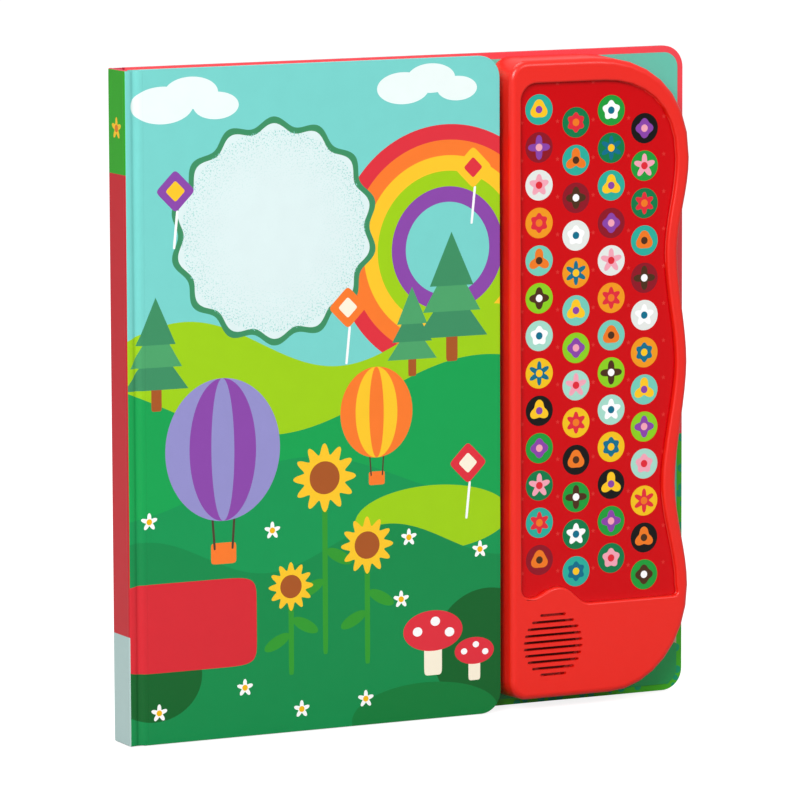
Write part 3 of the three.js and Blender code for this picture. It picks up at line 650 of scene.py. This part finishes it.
def copy_of(node, name):
    """A merged copy of a CAD node's mesh, with its flat faces whole again."""
    piece = bpy.data.objects.new(name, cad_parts[node].data.copy())
    bpy.context.scene.collection.objects.link(piece)
    piece.data.materials.clear()
    only(piece)
    bpy.ops.object.mode_set(mode="EDIT")
    bpy.ops.mesh.select_all(action="SELECT")
    bpy.ops.mesh.remove_doubles(threshold=0.002 * MM)
    bpy.ops.mesh.dissolve_limited(angle_limit=math.radians(0.3))
    stop_editing()
    return piece


def soften(piece, width, segments, chosen, clamp=True):
    """Round the sharp edges whose two ends pass the test, by a width in millimetres."""
    mesh = start_editing(piece, "EDGE")
    sharp = math.radians(35)
    for edge in mesh.edges:
        folded = len(edge.link_faces) == 2 and edge.calc_face_angle(0) > sharp
        edge.select = folded and all(chosen(*book_point(end)) for end in edge.verts)
    picked = any(edge.select for edge in mesh.edges)
    bmesh.update_edit_mesh(piece.data)
    if picked:
        bpy.ops.mesh.bevel(offset=width * MM, segments=segments, affect="EDGES", profile=0.5,
                           clamp_overlap=clamp)
    stop_editing()


def sink_groove(piece, inward):
    """Lower the board's own groove, which the joint paper covers."""
    mesh = start_editing(piece, "VERT")
    for vertex in mesh.verts:
        x, y, _ = book_point(vertex)
        outer = y if inward > 0 else BOOK_DEPTH - y
        vertex.select = x < GROOVE_END - 0.2 and outer < 1.6
    mesh.select_flush_mode()
    bmesh.update_edit_mesh(piece.data)
    bpy.ops.transform.translate(value=(0, inward * MM, 0))
    stop_editing()


def finish_piece(piece, material, body, slot, *nodes):
    only(piece)
    bpy.ops.object.shade_smooth_by_angle(angle=math.radians(38))
    weighted = piece.modifiers.new("flat faces stay flat", "WEIGHTED_NORMAL")
    weighted.keep_sharp = True
    weighted.weight = 90
    bpy.ops.object.modifier_apply(modifier=weighted.name)
    bpy.ops.object.select_all(action="DESELECT")
    piece.data.materials.clear()
    piece.data.materials.append(material)
    if body:
        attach(piece, body)
    if nodes:
        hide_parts(*nodes)
    return piece


def beyond_groove(x, y, z):
    return x > GROOVE_END - 0.5


def beyond_groove_and_door(x, y, z):
    return beyond_groove(x, y, z) and not (DOOR_LEFT < x < DOOR_RIGHT and DOOR_FOOT < z < DOOR_TOP)


def boards():
    """Greyboards wrapped in printed paper, with the soft edges that the wrapping gives."""
    front = copy_of("front_cover", "front_board")
    soften(front, 0.7, 3, beyond_groove)
    sink_groove(front, 0.55)
    paper = laminated_print("laminated_front_paper", front_picture)
    finish_piece(front, paper, "front", "printed_front", "front_cover")
    spine = copy_of("spine", "spine_board")
    soften(spine, 0.5, 3, lambda x, y, z: True)
    paper = laminated_print("laminated_spine_paper", spine_picture)
    finish_piece(spine, paper, "spine", "printed_spine", "spine")
    back = copy_of("back_cover", "back_board")
    soften(back, 0.7, 3, beyond_groove_and_door)
    sink_groove(back, -0.55)
    paper = laminated_print("laminated_back_paper", back_picture)
    finish_piece(back, paper, "back", "printed_back", "back_cover")


# Cover paper across a groove, X and depth: round the spine's corner, down the dip, up to the board
JOINT_SECTION = ((-0.04, 2.4), (-0.05, 1.0), (0.05, 0.45), (0.4, 0.06), (1.0, -0.04),
                 (2.2, -0.02), (2.9, 0.14), (3.5, 0.5), (4.0, 0.85), (4.6, 1.0),
                 (5.3, 0.82), (6.2, 0.34), (7.0, 0.0), (8.0, -0.06), (9.0, -0.06))
JOINT_ROWS = 60
JOINT_MARGIN = 0.15
JOINT_PAPER = 0.25


def joint_sheet(name, at_front):
    """The joint paper as a grid of rows up the book, given its thickness and smoothed."""
    points = []
    for i in range(JOINT_ROWS + 1):
        z = JOINT_MARGIN + (COVER_HEIGHT - 2 * JOINT_MARGIN) * i / JOINT_ROWS
        for x, depth in JOINT_SECTION:
            points.append(place(x, depth if at_front else BOOK_DEPTH - depth, z))
    columns = len(JOINT_SECTION)
    faces = []
    for i in range(JOINT_ROWS):
        for j in range(columns - 1):
            corner = i * columns + j
            quad = (corner, corner + 1, corner + columns + 1, corner + columns)
            faces.append(quad if at_front else tuple(reversed(quad)))
    mesh = bpy.data.meshes.new(name)
    mesh.from_pydata(points, [], faces)
    piece = bpy.data.objects.new(name, mesh)
    bpy.context.scene.collection.objects.link(piece)
    only(piece)
    solid = piece.modifiers.new("paper", "SOLIDIFY")
    solid.thickness = JOINT_PAPER * MM
    solid.offset = -1
    bpy.ops.object.modifier_apply(modifier="paper")
    smooth = piece.modifiers.new("smooth", "SUBSURF")
    smooth.levels = 1
    smooth.render_levels = 1
    bpy.ops.object.modifier_apply(modifier="smooth")
    return piece


def joint_papers():
    """Two strips from the spine's corner to its inner edge."""
    front = joint_sheet("front_joint_paper", True)
    paper = laminated_print("laminated_front_joint_paper", with_spine_edge(front_picture))
    finish_piece(front, paper, None, "printed_front")
    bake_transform(front)
    back = joint_sheet("back_joint_paper", False)
    paper = laminated_print("laminated_back_joint_paper", with_spine_edge(back_hills))
    finish_piece(back, paper, None, "printed_back")
    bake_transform(back)


def in_grille(x, z):
    return math.hypot(x - SPEAKER_X, z - SPEAKER_Z) < GRILLE_RADIUS


def on_lip(x, y, z):
    return y < MODULE_FRONT + 0.05 and not in_grille(x, z)


def on_slots(x, y, z):
    return y < MODULE_FRONT + 0.05 and in_grille(x, z)


def module_shell():
    """Front shell: a soft lip round the film and softer slot edges."""
    piece = copy_of("housing_front", "module_shell")
    soften(piece, 1.1, 5, on_lip, clamp=False)
    soften(piece, 0.28, 2, on_slots)
    # Injection-moulded ABS from a polished mould: even red, satin gloss, hardly any grain
    red_abs = plain("moulded_red_abs", "ee1e0e", 0.3, 0.7, 0.012, amount=0.015, ior=1.53)
    finish_piece(piece, red_abs, "back", "housing", "housing_front")


def hidden_finishes():
    """Finishes of the pieces that keep their CAD form; most of them show only inside or behind."""
    endpaper = laminated_print("printed_endpaper", endpaper_picture)
    # The same ABS from an unpolished mould half: duller
    matt_abs = plain("moulded_red_abs_matt", "d02a20", 0.45, 0.8, 0.02, ior=1.53)
    # Zinc-plated steel: pale, bright metal
    steel = plain("zinc_plated_steel", "b9bcc0", 0.3, 0.8, 0.01, 1.0)
    # PVC sleeve over a steel can: dark, half metallic sheen
    sleeve = plain("sleeved_cell", "33373c", 0.35, 2.0, 0.01, 0.5)
    # Extruded PVC lead: smooth and dull red
    lead = plain("insulated_lead", "c0392b", 0.45, 1.0, 0.01)
    return {
        "page_block": page_material(),
        "overlay_film": film_material(),
        "front_lining": endpaper,
        "back_lining": endpaper,
        "housing_back": matt_abs,
        "battery_door": matt_abs,
        # Moulded silicone: soft grey-white, dull
        "keypad": plain("moulded_silicone", "d9d9d4", 0.6, 1.2, 0.02),
        # Green solder mask: thin lacquer with a low gloss
        "circuit_board": plain("green_solder_mask", "23643a", 0.35, 2.0, 0.02),
        # Black epoxy: a glossy drop
        "sound_chip": plain("black_epoxy", "101010", 0.3, 3.0, 0.05),
        # Sheet steel coloured red so that the shaded slots in front of it look dark red
        "speaker_frame": plain("red_frame_behind_slots", "b42c20", 0.5, 1.0, 0.01),
        # Pressed paper: rough and dark
        "speaker_cone": plain("dark_paper_cone", "6a1a12", 0.8, 0.6, 0.04),
        # Ferrite in a steel pot: charcoal, slightly metallic
        "speaker_magnet": plain("black_ferrite", "2a2a2c", 0.5, 0.8, 0.03, 0.3),
        "speaker_lead_1": lead,
        "speaker_lead_2": lead,
        "battery_1": sleeve,
        "battery_2": sleeve,
    }, steel


def dress_nodes():
    finishes, steel = hidden_finishes()
    replaced = {"front_cover", "spine", "back_cover", "housing_front"}
    for name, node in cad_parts.items():
        if name not in replaced:
            node.data.materials.clear()
            node.data.materials.append(finishes.get(name, steel))


bpy.ops.object.select_all(action="DESELECT")
bpy.context.scene.view_settings.view_transform = "Standard"
scene_camera()
studio()
boards()
joint_papers()
module_shell()
dress_nodes()
